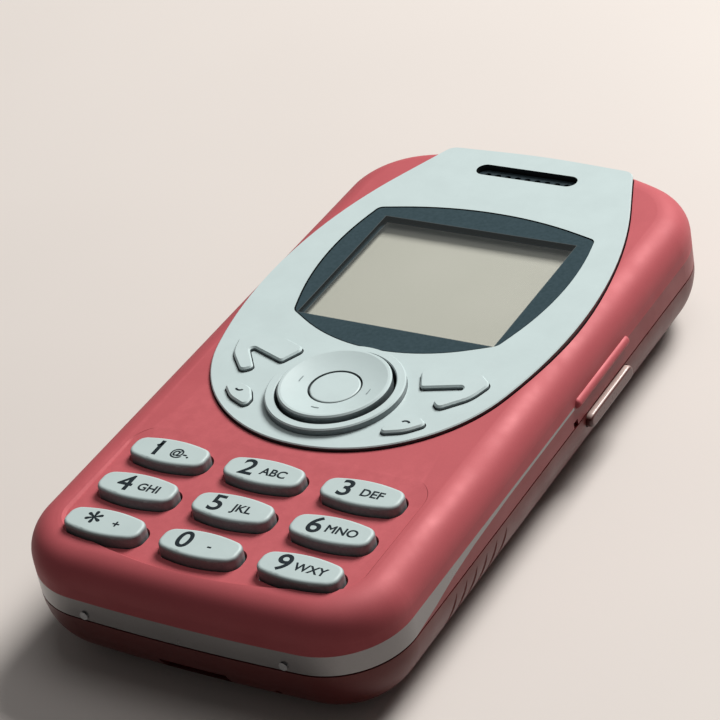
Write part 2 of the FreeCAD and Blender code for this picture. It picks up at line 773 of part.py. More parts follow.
# Keys on the deck, hidden while the phone is closed
deck_floor = base_top_z - deck_key_recess
dk_top = deck_floor + deck_key_rise
dk_flange_top = deck_bottom - press_gap
dk_flange_bottom = dk_flange_top - 0.3
for name, kx in deck_keys:
    cap = prism(stadium(kx, deck_key_y, key_length, key_width), dk_flange_bottom, dk_top)
    cap = round_at(cap, dk_top, 0.15)
    wide = prism(stadium(kx, deck_key_y, key_length + 2 * key_flange, key_width + 2 * key_flange),
                 dk_flange_bottom, dk_flange_top)
    put(name, fuse([cap, wide]))
dk_mat_top = dk_flange_bottom - deck_key_travel - run_fit
base_mat = prism(rect(-deck_mat_half_length, deck_mat_half_length, deck_key_y - deck_mat_half_width,
                      deck_key_y + deck_mat_half_width, 2.0), base_board_top_z, dk_mat_top)
put("base_key_mat", base_mat)

# Rear shell: boat shaped underside, grips on both sides, opening for the battery cover
wall_total = base_wall + base_ledge
inside = round_at(prism(outline, base_floor_t, deck_bottom, wall_total), base_floor_t, base_inner_r)
rebate = prism(outline, deck_bottom, base_top_z + 1, base_wall - 0.03)
rear = base_block.cut(inside).cut(rebate)
pocket = rect(-cover_half_width - 0.1, cover_half_width + 0.1,
              cover_y0 - cover_travel - 0.3, cover_y1 + 0.1, 1.6)
rear = rear.cut(prism(pocket, -1.0, base_floor_t + 1.0))
thumb_floor = box(-cover_half_width - 1.0, cover_half_width + 1.0, cover_y0 - cover_travel - 1.5,
                  cover_y0 + 0.3, cover_t + 0.08, cover_t + 0.65)
rear = fuse([rear, thumb_floor])
base_screw_x = body_half_width - base_screw_side_in
base_screw_y = (-half_length + base_screw_bottom_in, half_length - base_screw_top_in)
base_spots = [(sx, sy) for sy in base_screw_y for sx in (-base_screw_x, base_screw_x)]
tray_bottom = base_board_top_z - board_t - tray_t
posts = [cyl(sx, sy, base_floor_t - 0.1, tray_bottom, 2.1) for sx, sy in base_spots]
rear = fuse([rear] + posts)
for sx, sy in base_spots:
    rear = rear.cut(cyl(sx, sy, -1, 30, 0.6))
    rear = rear.cut(cyl(sx, sy, -1, 0.75, 1.3))
grip_lean = math.degrees(math.asin((rear_edge_r - grip_z) / rear_edge_r))
grip_x = body_half_width - rear_edge_r * (1.0 - math.cos(math.radians(grip_lean)))
for i in range(grip_count):
    gy = grip_y + i * grip_pitch
    groove = box(-grip_half_width, grip_half_width, -grip_half_width, grip_half_width,
                 -grip_half_length, grip_half_length)
    groove.rotate(V(0, 0, 0), V(0, 0, 1), 45)
    groove.rotate(V(0, 0, 0), V(1, 0, 0), -22)
    right = groove.copy()
    right.rotate(V(0, 0, 0), V(0, 1, 0), grip_lean)
    right.translate(V(grip_x + 0.05, gy, grip_z))
    left = right.mirror(V(0, 0, 0), V(1, 0, 0))
    rear = rear.cut(right).cut(left)
speaker_y1 = half_length - speaker_end_in
speaker_y0 = speaker_y1 - speaker_length
speaker_y = (speaker_y0 + speaker_y1) / 2.0
for i in range(5):
    slit = stadium(0, speaker_y + (i - 2) * 1.6, speaker_half_width + 1.0 - abs(i - 2) * 1.2, 0.8)
    rear = rear.cut(prism(slit, -1, base_floor_t + 0.3))
port = box(-port_half_width, port_half_width, -half_length - 1, -half_length + 4.8,
           port_z0, tray_bottom + 0.1)
mic_hole = Part.makeCylinder(0.4, mic_end_in, V(mic_x, -half_length - 1, mic_z), V(0, 1, 0))
rear = rear.cut(port).cut(mic_hole)

# Side key in the rim of the rear shell, its stem under the deck, and its switch on the main board
side_key_length = side_key_y1 - side_key_y0
cap_x0 = body_half_width - side_key_cap_t
stem_z1 = deck_bottom - press_gap
stem_z0 = stem_z1 - side_key_stem_t
stem_x0 = body_half_width - wall_total - press_gap
slot_x0 = body_half_width - base_wall - 0.2
key_slot = side_prism(side_key_length + 2 * fit, side_key_width + 2 * fit, slot_x0, body_half_width + 2)
stem_slot = box(stem_x0 - 1, cap_x0 + 0.1, side_key_y0 + 1.9, side_key_y1 - 1.9, stem_z0 - 0.1, deck_bottom)
rear = rear.cut(key_slot).cut(stem_slot)
put("rear_shell", rear)
cap = side_prism(side_key_length, side_key_width, cap_x0, body_half_width + side_key_proud)
outer = [e for e in cap.Edges if e.BoundBox.XMin > body_half_width + side_key_proud - 0.001]
cap = cap.makeFillet(0.35, outer)
stem = box(stem_x0 - 0.3, cap_x0 + 0.2, side_key_y0 + 2.0, side_key_y1 - 2.0, stem_z0, stem_z1)
flange = box(stem_x0 - 0.55, stem_x0, side_key_y0 + 1.2, side_key_y1 - 1.2,
             base_board_top_z + run_fit, stem_z1)
put("side_key", fuse([cap, stem, flange]))
switch_x1 = stem_x0 - 0.55 - side_key_travel - run_fit
switch_y = (side_key_y0 + side_key_y1) / 2.0
put("side_key_switch", box(switch_x1 - 2.2, switch_x1, switch_y - 2.1, switch_y + 2.1,
                           base_board_top_z, deck_bottom - 0.05))

# Inner tray: carries the boards, walls in the battery
tray = prism(outline, tray_bottom, tray_bottom + tray_t, wall_total + 0.5)
wall_in = rect(-battery_half_width - 0.25, battery_half_width + 0.25,
               battery_y0 - 0.25, battery_y1 + 0.25, 0.4)
wall_out = rect(-battery_half_width - 1.0, battery_half_width + 1.0, battery_y0 - 1.0, battery_y1 + 1.0, 0.8)
tray_wall = prism(wall_out, battery_z0 + 0.1, tray_bottom + 0.1).cut(prism(wall_in, 0, 30))
tray = fuse([tray, tray_wall])
for sx, sy in base_spots:
    tray = tray.cut(cyl(sx, sy, 0, 30, 0.6))
contact_box = rect(-5.0, 5.0, battery_y1 - 5.0, battery_y1 - 1.0, 0.4)
tray = tray.cut(prism(contact_box, tray_bottom - 0.5, 30))
put("inner_tray", tray)

# Main board of the base
board = prism(outline, tray_bottom + tray_t, base_board_top_z, wall_total + 0.6)
for sx, sy in base_spots:
    board = board.cut(cyl(sx, sy, 0, 30, 1.3))
put("main_board", board)

# Battery, its contacts and the sliding cover
cell = prism(rect(-battery_half_width, battery_half_width, battery_y0, battery_y1, 0.8),
             battery_z0, battery_z0 + battery_t)
put("battery", cell)
springs = []
for i in range(3):
    cx = (i - 1) * 2.8
    springs.append(box(cx - 0.6, cx + 0.6, battery_y1 - 4.4, battery_y1 - 1.6,
                       battery_z0 + battery_t, tray_bottom + tray_t))
put("battery_contacts", Part.makeCompound(springs))
cover_pts = rect(-cover_half_width, cover_half_width, cover_y0, cover_y1, 1.5)
cover = prism(cover_pts, 0.0, cover_t)
for i in range(5):
    gy = cover_y0 + 3.0 + i * 1.3
    cover = cover.cut(box(-5.0, 5.0, gy, gy + 0.5, -1, 0.3))
hooks = []
for side in (-1, 1):
    for hy in (-16.0, -1.0, 14.0):
        x0 = min(side * (cover_half_width - 1.0), side * (cover_half_width + 1.0))
        x1 = max(side * (cover_half_width - 1.0), side * (cover_half_width + 1.0))
        root_x0 = min(side * (cover_half_width - 1.0), side * (cover_half_width - 0.1))
        root_x1 = max(side * (cover_half_width - 1.0), side * (cover_half_width - 0.1))
        hooks.append(box(root_x0, root_x1, hy - 1.5, hy + 1.5, cover_t - 0.2, 1.85))
        hooks.append(box(x0, x1, hy - 1.5, hy + 1.5, base_floor_t + run_fit, 1.85))
cover = fuse([cover] + hooks)
put("battery_cover", cover)

# Small parts of the base half
motor_x = -battery_half_width - 0.9
motor = Part.makeCylinder(motor_r, motor_length, V(motor_x, motor_y0, motor_z), V(0, 1, 0))
cradle = box(motor_x - motor_r - 0.1, motor_x + motor_r + 0.1, motor_y0 + 1, motor_y0 + motor_length - 1,
             motor_z, tray_bottom)
put("vibration_motor", fuse([motor, cradle]))
speaker_box = rect(-speaker_half_width, speaker_half_width, speaker_y0, speaker_y1, 3.0)
put("loudspeaker", prism(speaker_box, base_floor_t + 0.02, tray_bottom))
mic_y = -half_length + mic_end_in
mic_body = Part.makeCylinder(mic_r, mic_length, V(mic_x, mic_y, mic_z), V(0, 1, 0))
mic_foot = box(mic_x - mic_r + 0.1, mic_x + mic_r - 0.1, mic_y, mic_y + mic_length, mic_z, tray_bottom)
put("microphone", fuse([mic_body, mic_foot]))
arm_x = body_half_width - antenna_side_in
arm_y = half_length - 6.8
aerial = fuse([
    box(arm_x, arm_x + 5.0 * antenna_arm_t, motor_y0 + 3.7, motor_y0 + 6.7, 2.4, tray_bottom),
    box(arm_x, arm_x + antenna_arm_t, motor_y0 + 3.7, arm_y, 3.4, tray_bottom),
    box(arm_x, arm_x + 3.5 * antenna_arm_t, arm_y - antenna_arm_t, arm_y, 3.4, tray_bottom),
])
inside_safe = prism(outline, base_floor_t + 0.3, deck_bottom, wall_total + 0.3)
inside_safe = round_at(inside_safe, base_floor_t + 0.3, base_inner_r - 0.2)
aerial = aerial.common(inside_safe)
for sx, sy in base_spots:
    aerial = aerial.cut(cyl(sx, sy, 0, 30, 2.3))
put("antenna", aerial)
jack_x = port_half_width - 0.2
jack_y = -half_length + 2.4
jack = box(-jack_x, jack_x, jack_y, jack_y + port_depth, port_z0 + 0.1, tray_bottom)
jack = jack.cut(box(-jack_x + port_wall, jack_x - port_wall, jack_y - 1, jack_y + port_depth - 1,
                    port_z0 + 0.5, tray_bottom - 0.4))
put("bottom_connector", jack)
sim_x0 = motor_x + motor_r + 1.0
sim_y0 = battery_y1 + 1.3
sim = box(sim_x0, sim_x0 + sim_length, sim_y0, sim_y0 + sim_width, tray_bottom - sim_t, tray_bottom)
put("sim_holder", sim)
pins = []
for sx, sy in base_spots:
    head = cyl(sx, sy, 0.12, 0.72, 1.1)
    head = head.cut(box(sx - 0.9, sx + 0.9, sy - 0.14, sy + 0.14, -1, 0.4))
    head = head.cut(box(sx - 0.14, sx + 0.14, sy - 0.9, sy + 0.9, -1, 0.4))
    pins.append(fuse([head, cyl(sx, sy, 0.6, base_board_top_z - 0.2, 0.5)]))
put("base_screws", Part.makeCompound(pins))

# Flat cable between the two boards, folded in the slot of the slider plate
ribbon_z = pan_floor_z + run_fit
ribbon = fuse([
    box(-ribbon_half_width, ribbon_half_width, 1.0, 5.0, base_board_top_z, base_board_top_z + ribbon_t),
    box(-ribbon_half_width, ribbon_half_width, 5.0 - ribbon_t, 5.0, base_board_top_z, ribbon_z + ribbon_t),
    box(-ribbon_half_width, ribbon_half_width, -4.0, 5.0, ribbon_z, ribbon_z + ribbon_t),
])
put("flex_ribbon", ribbon)

# Check and write every node; the row is centred on its own bounding box in X
shift = V(-(body_half_width + side_key_proud - body_half_width) / 2.0, 0, 0)
for name, shape in made.items():
    shape = shape.copy()
    shape.translate(shift)
    solids = shape.Solids
    ok = shape.isValid() and all(s.Volume > 0 for s in solids)
    print(name, "valid" if ok else "BROKEN", len(solids), round(shape.Volume, 2))
    if len(solids) == 1:
        solids[0].exportStep("parts/" + name + ".step")
    else:
        shape.exportStep("parts/" + name + ".step")
print(len(made), "nodes")
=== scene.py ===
import bpy
import bmesh
import math
from mathutils import Matrix, Vector


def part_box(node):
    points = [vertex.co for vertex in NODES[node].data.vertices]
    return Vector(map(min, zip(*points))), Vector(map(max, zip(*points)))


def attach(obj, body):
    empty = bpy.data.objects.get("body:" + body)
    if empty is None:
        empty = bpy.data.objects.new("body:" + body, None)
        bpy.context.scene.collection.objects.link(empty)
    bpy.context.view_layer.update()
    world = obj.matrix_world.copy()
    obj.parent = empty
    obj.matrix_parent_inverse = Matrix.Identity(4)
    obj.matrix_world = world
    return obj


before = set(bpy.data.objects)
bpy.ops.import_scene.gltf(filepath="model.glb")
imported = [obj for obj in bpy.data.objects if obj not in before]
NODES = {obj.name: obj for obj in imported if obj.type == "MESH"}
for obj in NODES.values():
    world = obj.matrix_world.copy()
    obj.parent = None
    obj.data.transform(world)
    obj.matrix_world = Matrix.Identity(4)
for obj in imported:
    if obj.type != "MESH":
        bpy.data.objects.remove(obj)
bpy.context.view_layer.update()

MM = 0.001


def middle(node):
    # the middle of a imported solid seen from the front, and the height of its top
    low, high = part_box(node)
    return (low[0] + high[0]) / 2.0, (low[1] + high[1]) / 2.0, high[2]


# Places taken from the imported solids
CENTRE_X = middle("face_plate")[0]
NAV_Y = middle("nav_ring")[1]
DISC_TOP = middle("nav_disc")[2]

# The clear view that the printed border of the display glass leaves
VIEW_LEFT = CENTRE_X - 12.75 * MM
VIEW_RIGHT = CENTRE_X + 12.95 * MM
VIEW_BOTTOM = 3.2 * MM
VIEW_TOP = 24.6 * MM
VIEW_EDGE = 0.06 * MM
LCD_PITCH = 0.22 * MM

# Print on the keys
INK_THICK = 0.012 * MM
INK_LIFT = 0.004 * MM
FONT_SIZE_PER_CAPITAL = 1.37
DIGIT_HEIGHT = 2.6 * MM
DIGIT_WEIGHT = 0.065 * MM
DIGIT_STRETCH = 1.05
DIGIT_LEFT = 1.95 * MM
STAR_GROWTH = 1.2
STAR_DROP = 0.55 * MM
LETTER_HEIGHT = 1.18 * MM
LETTER_WEIGHT = 0.045 * MM
LETTER_RIGHT = 1.3 * MM
LETTER_DROP = 0.1 * MM
LEFT_COLUMN_X = CENTRE_X - 5.0 * MM
LEFT_COLUMN_INWARD = 0.45 * MM

# The flag of the figure 1, from the middle of its key
FLAG_TIP = (-1.30 * MM, 0.90 * MM)
FLAG_RUN = (-0.62 * MM, -0.42 * MM)
FLAG_WIDTH = 0.30 * MM

# Direction marks on the navigation disc
MARK_RADIUS = 4.35 * MM
MARK_HALF_SPAN = 0.11
MARK_WIDTH = 0.12 * MM
MARK_THICK = 0.02 * MM
MARK_BELOW_RIM = 0.37 * MM

# Handset signs on the call and end keys
HANDSET_HALF_LENGTH = 0.46 * MM
HANDSET_HALF_HEIGHT = 0.38 * MM
HANDSET_WIDTH = 0.26 * MM
HANDSET_ASIDE = 0.1 * MM
HANDSET_UP = 0.45 * MM
HANDSET_BOW = 0.2 * MM
HANDSET_SWEEP = math.radians(140.0)

# Camera fitted to the photograph
CAMERA_PLACE = (147.95 * MM, -210.58 * MM, 185.83 * MM)
CAMERA_AZIMUTH = math.radians(-54.299)
CAMERA_ELEVATION = math.radians(33.657)
CAMERA_ROLL = math.radians(-11.081)
CAMERA_LENS = 137.02
CAMERA_SENSOR = 36.0

# Studio
FLOOR_HALF = 3.0
FLOOR_DROP = 0.02 * MM
KEY_LIGHT_PLACE = (0.15, 0.52, 0.56)
KEY_LIGHT_SIZE = 0.32
KEY_LIGHT_WATTS = 7.4
KEY_LIGHT_COLOUR = (1.0, 0.99, 0.97)
TOP_LIGHT_PLACE = (0.10, 0.10, 0.80)
TOP_LIGHT_SIZE = 0.40
TOP_LIGHT_WATTS = 0.8
WORLD_COLOUR = (0.75, 0.74, 0.73, 1.0)
WORLD_STRENGTH = 0.10


def rgb(r, g, b):
    # display colour in 0..255 to the linear colour a shader takes
    out = []
    for v in (r, g, b):
        c = v / 255.0
        out.append(c / 12.92 if c <= 0.04045 else ((c + 0.055) / 1.055) ** 2.4)
    return (out[0], out[1], out[2], 1.0)


def scaled(colour, factor, lift=0.0):
    # a darker or lighter copy of a linear colour
    return tuple(min(1.0, c * factor + lift) for c in colour[:3]) + (1.0,)


RED = rgb(193, 92, 98)
RED_FRAME = rgb(140, 52, 56)
RED_DARK = rgb(100, 34, 32)
PEARL = rgb(206, 222, 222)
# partly a greyer moulding and partly painted shade: the steep walls of the pale navigation and soft keys,
# which face away from the light
PEARL_WALL_AND_SHADE = rgb(112, 122, 125)
# painted shade: the walls of the pale face plate are painted near black for the shadow in the gap round the
# plate
PLATE_WALL_SHADE = rgb(40, 44, 46)
KEY_TOP = rgb(196, 212, 211)
# partly a darker skirt moulding and partly painted shade: the steep walls of the number keys, which face away
# from the light
KEY_WALL_AND_SHADE = rgb(128, 136, 138)
# partly a silver bevel and partly a painted highlight on the side key's edges that face up; the face colour
# below is the key's own dark red
SIDE_KEY_EDGE_AND_HIGHLIGHT = rgb(206, 182, 174)
SIDE_KEY_FACE = rgb(104, 58, 54)
SILVER = rgb(128, 126, 126)
SLATE = rgb(54, 72, 78)
SLATE_LIGHT = rgb(62, 80, 87)
GLASS = rgb(150, 156, 156)
LCD = rgb(198, 198, 184)
LCD_LIGHT = rgb(206, 205, 192)
LCD_LINE = rgb(186, 187, 174)
BOARD = rgb(14, 74, 48)
BOARD_TRACK = rgb(36, 112, 66)
# painted shade: black for the dark space seen through the mesh holes
HOLE_SHADE_BLACK = (0.001, 0.001, 0.001, 1.0)
INK = rgb(26, 38, 44)
FAINT_INK = rgb(150, 162, 164)
FLOOR = rgb(222, 214, 208)
FLOOR_LIGHT = rgb(228, 220, 214)
FLOOR_BOUNCE = rgb(96, 82, 78)


class Nodes:
    # a small builder for one material's node tree
    def __init__(self, name):
        self.mat = bpy.data.materials.new(name)
        self.mat.use_nodes = True
        self.tree = self.mat.node_tree
        self.tree.nodes.clear()
        self.out = self.add("ShaderNodeOutputMaterial")
        self.coord = self.add("ShaderNodeTexCoord")

    def add(self, kind, **inputs):
        node = self.tree.nodes.new(kind)
        for key, value in inputs.items():
            self.put(node, key, value)
        return node

    def put(self, node, key, value):
        # key is a socket's number, or its name with underscores for the spaces
        socket = node.inputs[key if isinstance(key, int) else key.replace("_", " ")]
        if isinstance(value, bpy.types.NodeSocket):
            self.tree.links.new(value, socket)
        else:
            socket.default_value = value

    def put_all(self, node, *values):
        for number, value in enumerate(values):
            self.put(node, number, value)

    def math(self, op, a, b=0.0):
        node = self.tree.nodes.new("ShaderNodeMath")
        node.operation = op
        self.put_all(node, a, b)
        return node.outputs[0]

    def noise(self, scale, detail=3.0, rough=0.5, vector=None):
        node = self.add("ShaderNodeTexNoise", Scale=scale, Detail=detail, Roughness=rough)
        self.put(node, "Vector", vector or self.coord.outputs["Object"])
        return node.outputs["Fac"]

    def ramp(self, fac, low, high, start=0.0, end=1.0):
        # low below start, high above end, and a straight run between
        node = self.add("ShaderNodeMapRange")
        self.put_all(node, fac, start, end, low, high)
        return node.outputs[0]

    def spread(self, fac, low=0.0, high=1.0):
        # noise stays near 0.5, so its middle part is stretched over the whole range
        return self.ramp(fac, low, high, 0.3, 0.7)

    def mix(self, fac, a, b):
        node = self.tree.nodes.new("ShaderNodeMix")
        node.data_type = "RGBA"
        self.put(node, 0, fac)
        self.put(node, 6, a)
        self.put(node, 7, b)
        return node.outputs[2]

    def bump(self, height, strength, distance):
        return self.add("ShaderNodeBump", Strength=strength, Distance=distance, Height=height).outputs[0]

    def axes(self, kind="Object"):
        node = self.add("ShaderNodeSeparateXYZ")
        self.put(node, 0, self.coord.outputs[kind])
        return node.outputs

    def principled(self, base, rough, metallic=0.0, coat=0.0, coat_rough=0.03, spec=0.5):
        node = self.add("ShaderNodeBsdfPrincipled", Base_Color=base, Roughness=rough, Metallic=metallic)
        node.inputs["Coat Weight"].default_value = coat
        node.inputs["Coat Roughness"].default_value = coat_rough
        node.inputs["Specular IOR Level"].default_value = spec
        return node

    def finish(self, shader):
        self.tree.links.new(shader.outputs[0], self.out.inputs["Surface"])
        return self.mat


def moulded(name, colour, rough=0.4, metallic=0.0, grain=0.03, vary=0.12, bump=0.02,
            scale=2600.0, coat=0.0, wear=0.0, spec=0.5, painted_glow=0.0):
    # moulded or painted plastic: cloudy colour, fine grain, uneven gloss, paler worn edges, and where asked a
    # painted glow that stands in for light from elsewhere
    n = Nodes(name)
    cloud = n.noise(60.0, 4.0, 0.6)
    speck = n.noise(scale, 2.0)
    dark = scaled(colour, 1.0 - vary)
    light = scaled(colour, 1.0 + vary, 0.01 * vary)
    base = n.mix(n.spread(cloud), dark, light)
    tint = n.mix(n.ramp(speck, 0.0, 1.0, 0.35, 0.65), dark, light)
    base = n.mix(grain, base, tint)
    if wear > 0.0:
        pointed = n.add("ShaderNodeNewGeometry").outputs["Pointiness"]
        edge = n.ramp(pointed, 0.0, 1.0, 0.52, 0.60)
        patches = n.ramp(n.noise(700.0, 4.0, 0.7), 0.2, 1.0, 0.4, 0.65)
        worn = n.math("MULTIPLY", n.math("MULTIPLY", edge, patches), wear)
        base = n.mix(worn, base, scaled(colour, 1.6, 0.05))
    gloss = n.spread(n.noise(180.0, 3.0, 0.6), rough * 0.88, rough * 1.12)
    p = n.principled(base, gloss, metallic, coat, 0.15, spec)
    # painted glow: an emission that stands in for light thrown onto the part from elsewhere; the part is no
    # lamp
    if painted_glow > 0.0:
        p.inputs["Emission Color"].default_value = colour
        p.inputs["Emission Strength"].default_value = painted_glow
    n.put(p, "Normal", n.bump(speck, bump, 0.05 * MM))
    return n.finish(p)


def metal(name, colour, rough):
    # metal with fine drawing lines along Y and slight stains
    n = Nodes(name)
    x, y, z = n.axes()
    across = n.add("ShaderNodeCombineXYZ")
    n.put_all(across, n.math("MULTIPLY", x, 30.0), y, n.math("MULTIPLY", z, 30.0))
    grain = n.noise(400.0, 4.0, 0.6, across.outputs[0])
    stain = n.noise(90.0)
    dark = scaled(colour, 0.8)
    base = n.mix(n.spread(grain), dark, colour)
    base = n.mix(n.ramp(stain, 0.0, 0.25, 0.4, 0.7), base, dark)
    p = n.principled(base, n.spread(grain, rough * 0.8, rough * 1.25), 0.95)
    n.put(p, "Normal", n.bump(grain, 0.05, 0.03 * MM))
    return n.finish(p)


def slope_shaded_two_tone(name, top, wall, steep, flat, rough, coat):
    # a pale top over a darker skirt, chosen by how steep the surface is: the dark skirt is painted shade on
    # walls that face away from the light, on the keys partly also a darker moulding; on the side key the pale
    # part is partly a silver bevel and partly a painted highlight on the edges that face up
    n = Nodes(name)
    slope_shade_mask = n.ramp(n.axes("Normal")[2], 0.0, 1.0, steep, flat)
    cloud = n.noise(250.0, 4.0, 0.6)
    fine = n.noise(3000.0, 2.0)
    pale = n.mix(n.spread(cloud), scaled(top, 0.95), top)
    dark = n.mix(n.spread(fine), scaled(wall, 0.8), wall)
    gloss = n.spread(fine, rough * 0.9, rough * 1.1)
    p = n.principled(n.mix(slope_shade_mask, dark, pale), gloss, 0.0, coat, 0.25)
    n.put(p, "Normal", n.bump(fine, 0.02, 0.04 * MM))
    return n.finish(p)


def window_material(name):
    # clear pane with a dark slate border printed round the view
    n = Nodes(name)
    x, y, _ = n.axes()
    view = 1.0
    for axis, start, end in ((x, VIEW_LEFT, VIEW_RIGHT), (y, VIEW_BOTTOM, VIEW_TOP)):
        after = n.ramp(axis, 0.0, 1.0, start - VIEW_EDGE, start + VIEW_EDGE)
        before = n.ramp(axis, 1.0, 0.0, end - VIEW_EDGE, end + VIEW_EDGE)
        view = n.math("MULTIPLY", view, n.math("MULTIPLY", after, before))
    speck = n.noise(2400.0, 2.0)
    slate = n.mix(n.spread(speck), SLATE, SLATE_LIGHT)
    p = n.principled(n.mix(view, slate, GLASS), n.spread(speck, 0.10, 0.15), 0.0, 0.4, 0.05)
    n.put(p, "Alpha", n.ramp(view, 1.0, 0.07))
    return n.finish(p)


def lcd_material(name):
    # reflective display film with a faint grid of cells
    n = Nodes(name)
    x, y, _ = n.axes()
    cell_x = n.math("PINGPONG", x, LCD_PITCH / 2.0)
    cell_y = n.math("PINGPONG", y, LCD_PITCH / 2.0)
    grid = n.ramp(n.math("MINIMUM", cell_x, cell_y), 0.0, 1.0, 0.0, LCD_PITCH * 0.08)
    cloud = n.noise(45.0, 2.0)
    pale = n.mix(n.spread(cloud), LCD, LCD_LIGHT)
    return n.finish(n.principled(n.mix(grid, LCD_LINE, pale), n.spread(cloud, 0.38, 0.46)))


def board_material(name):
    # solder mask over copper tracks that run both ways in patches
    n = Nodes(name)
    x, y, _ = n.axes()
    tracks = []
    for axis, gap in ((x, 0.9 * MM), (y, 1.3 * MM)):
        tracks.append(n.ramp(n.math("PINGPONG", axis, gap), 1.0, 0.0, 0.20 * MM, 0.28 * MM))
    zone = n.ramp(n.noise(160.0, 1.0, 0.4), 0.0, 1.0, 0.49, 0.51)
    line = n.mix(zone, tracks[0], tracks[1])
    p = n.principled(n.mix(line, BOARD, BOARD_TRACK), n.ramp(zone, 0.3, 0.4))
    n.put(p, "Normal", n.bump(line, 0.2, 0.03 * MM))
    return n.finish(p)


def mesh_holes(name, colour, pitch):
    # fine punched mesh, its holes painted black as painted shade for the dark space behind them
    n = Nodes(name)
    cells = n.add("ShaderNodeTexVoronoi", Scale=1.0 / pitch, Randomness=0.0, Vector=n.coord.outputs["Object"])
    hole = n.ramp(cells.outputs["Distance"], 0.0, 1.0, 0.28, 0.36)
    p = n.principled(n.mix(hole, HOLE_SHADE_BLACK, colour), n.ramp(hole, 0.7, 0.4))
    n.put(p, "Normal", n.bump(hole, 0.5, 0.1 * MM))
    return n.finish(p)


MATERIALS = {
    "red": moulded("red_shell_paint", RED, rough=0.56, metallic=0.10, grain=0.25, vary=0.06, bump=0.03,
                   scale=5200.0, wear=0.15, spec=0.35),
    "red_frame": moulded("red_frame_paint", RED_FRAME, metallic=0.15, grain=0.25, vary=0.06,
                         bump=0.03, scale=5200.0, wear=0.2, spec=0.35),
    "red_dark": moulded("rear_paint", RED_DARK, rough=0.42, metallic=0.15, grain=0.3, vary=0.08, bump=0.08,
                        scale=4200.0, wear=0.3, spec=0.35),
    # the two-tone finishes below paint shade on steep walls, and on the side key a highlight on the edges
    # that face up
    "pearl": slope_shaded_two_tone("pearl_plate", PEARL, PLATE_WALL_SHADE, 0.3, 0.6, 0.33, 0.15),
    "pearl_keys_wall_shade": slope_shaded_two_tone("pearl_keys_wall_shade", PEARL, PEARL_WALL_AND_SHADE, 0.3, 0.7, 0.42, 0.1),
    "silver": moulded("silver_band", SILVER, rough=0.30, metallic=0.65, grain=0.3, vary=0.05,
                      bump=0.03, scale=4200.0, coat=0.2),
    "side_key": slope_shaded_two_tone("side_key_paint_and_highlight", SIDE_KEY_EDGE_AND_HIGHLIGHT, SIDE_KEY_FACE, 0.55, 0.85, 0.3, 0.1),
    "key": slope_shaded_two_tone("number_keys_wall_shade", KEY_TOP, KEY_WALL_AND_SHADE, 0.25, 0.85, 0.5, 0.0),
    "window": window_material("display_pane"),
    "lcd": lcd_material("display_film"),
    "black": moulded("black_moulding", rgb(36, 38, 41), rough=0.5, grain=0.4, vary=0.15, bump=0.12,
                     scale=3000.0, wear=0.3),
    # painted light: the display surround gets a lifted pale colour and a faint glow for the light the display
    # throws back onto its walls in shade
    "surround": moulded("display_surround_glow", rgb(210, 212, 218), rough=0.6, grain=0.3, vary=0.1, bump=0.05,
                        painted_glow=0.12),
    "white": moulded("white_moulding", rgb(214, 216, 210), rough=0.45, grain=0.2, vary=0.05, bump=0.04),
    "rubber": moulded("key_rubber", rgb(44, 46, 48), rough=0.75, grain=0.4, vary=0.15, bump=0.2,
                      scale=1800.0),
    "steel": metal("spring_steel", rgb(168, 170, 172), 0.3),
    "dark_steel": metal("black_zinc", rgb(70, 71, 73), 0.4),
    "gold": metal("contact_gold", rgb(206, 168, 98), 0.28),
    "board": board_material("solder_mask"),
    "wrap": moulded("battery_wrap", rgb(58, 62, 68), rough=0.35, grain=0.2, vary=0.1, bump=0.05, coat=0.3),
    "amber": moulded("amber_film", rgb(150, 92, 34), rough=0.3, grain=0.2, vary=0.1, bump=0.03),
    "mesh": mesh_holes("earpiece_mesh", rgb(40, 54, 60), 0.32 * MM),
    "ink": moulded("legend_ink", INK, rough=0.6, grain=0.3, vary=0.1, spec=0.2),
    "faint_ink": moulded("faint_ink", FAINT_INK, rough=0.6, grain=0.3, vary=0.1, spec=0.2),
}

FINISH = {
    "red": ["front_shell"],
    "red_frame": ["mid_frame"],
    "red_dark": ["rear_shell", "battery_cover"],
    "pearl": ["face_plate"],
    "pearl_keys_wall_shade": ["nav_ring", "nav_disc", "center_button", "soft_key_left", "soft_key_right", "call_key",
                   "end_key"],
    "silver": ["trim_band"],
    "side_key": ["side_key"],
    "key": ["key_1", "key_2", "key_3", "key_4", "key_5", "key_6", "key_star", "key_0", "key_9",
            "key_7", "key_8", "key_hash"],
    "window": ["display_window"],
    "lcd": ["lcd_panel"],
    "surround": ["lcd_frame"],
    "black": ["base_deck", "inner_tray", "side_key_switch", "loudspeaker"],
    "white": ["light_guide", "nav_carrier", "guide_rail_left", "guide_rail_right"],
    "rubber": ["keypad_mat", "base_key_mat"],
    "steel": ["dome_sheet", "slider_plate", "detent_spring", "end_studs", "vibration_motor",
              "bottom_connector", "sim_holder"],
    "dark_steel": ["earpiece_speaker", "slider_screws", "upper_screws", "microphone", "base_screws"],
    "gold": ["battery_contacts", "antenna"],
    "board": ["upper_board", "main_board"],
    "wrap": ["battery"],
    "amber": ["flex_ribbon"],
    "mesh": ["earpiece_grille"],
}
for finish, names in FINISH.items():
    for name in names:
        NODES[name].data.materials.clear()
        NODES[name].data.materials.append(MATERIALS[finish])

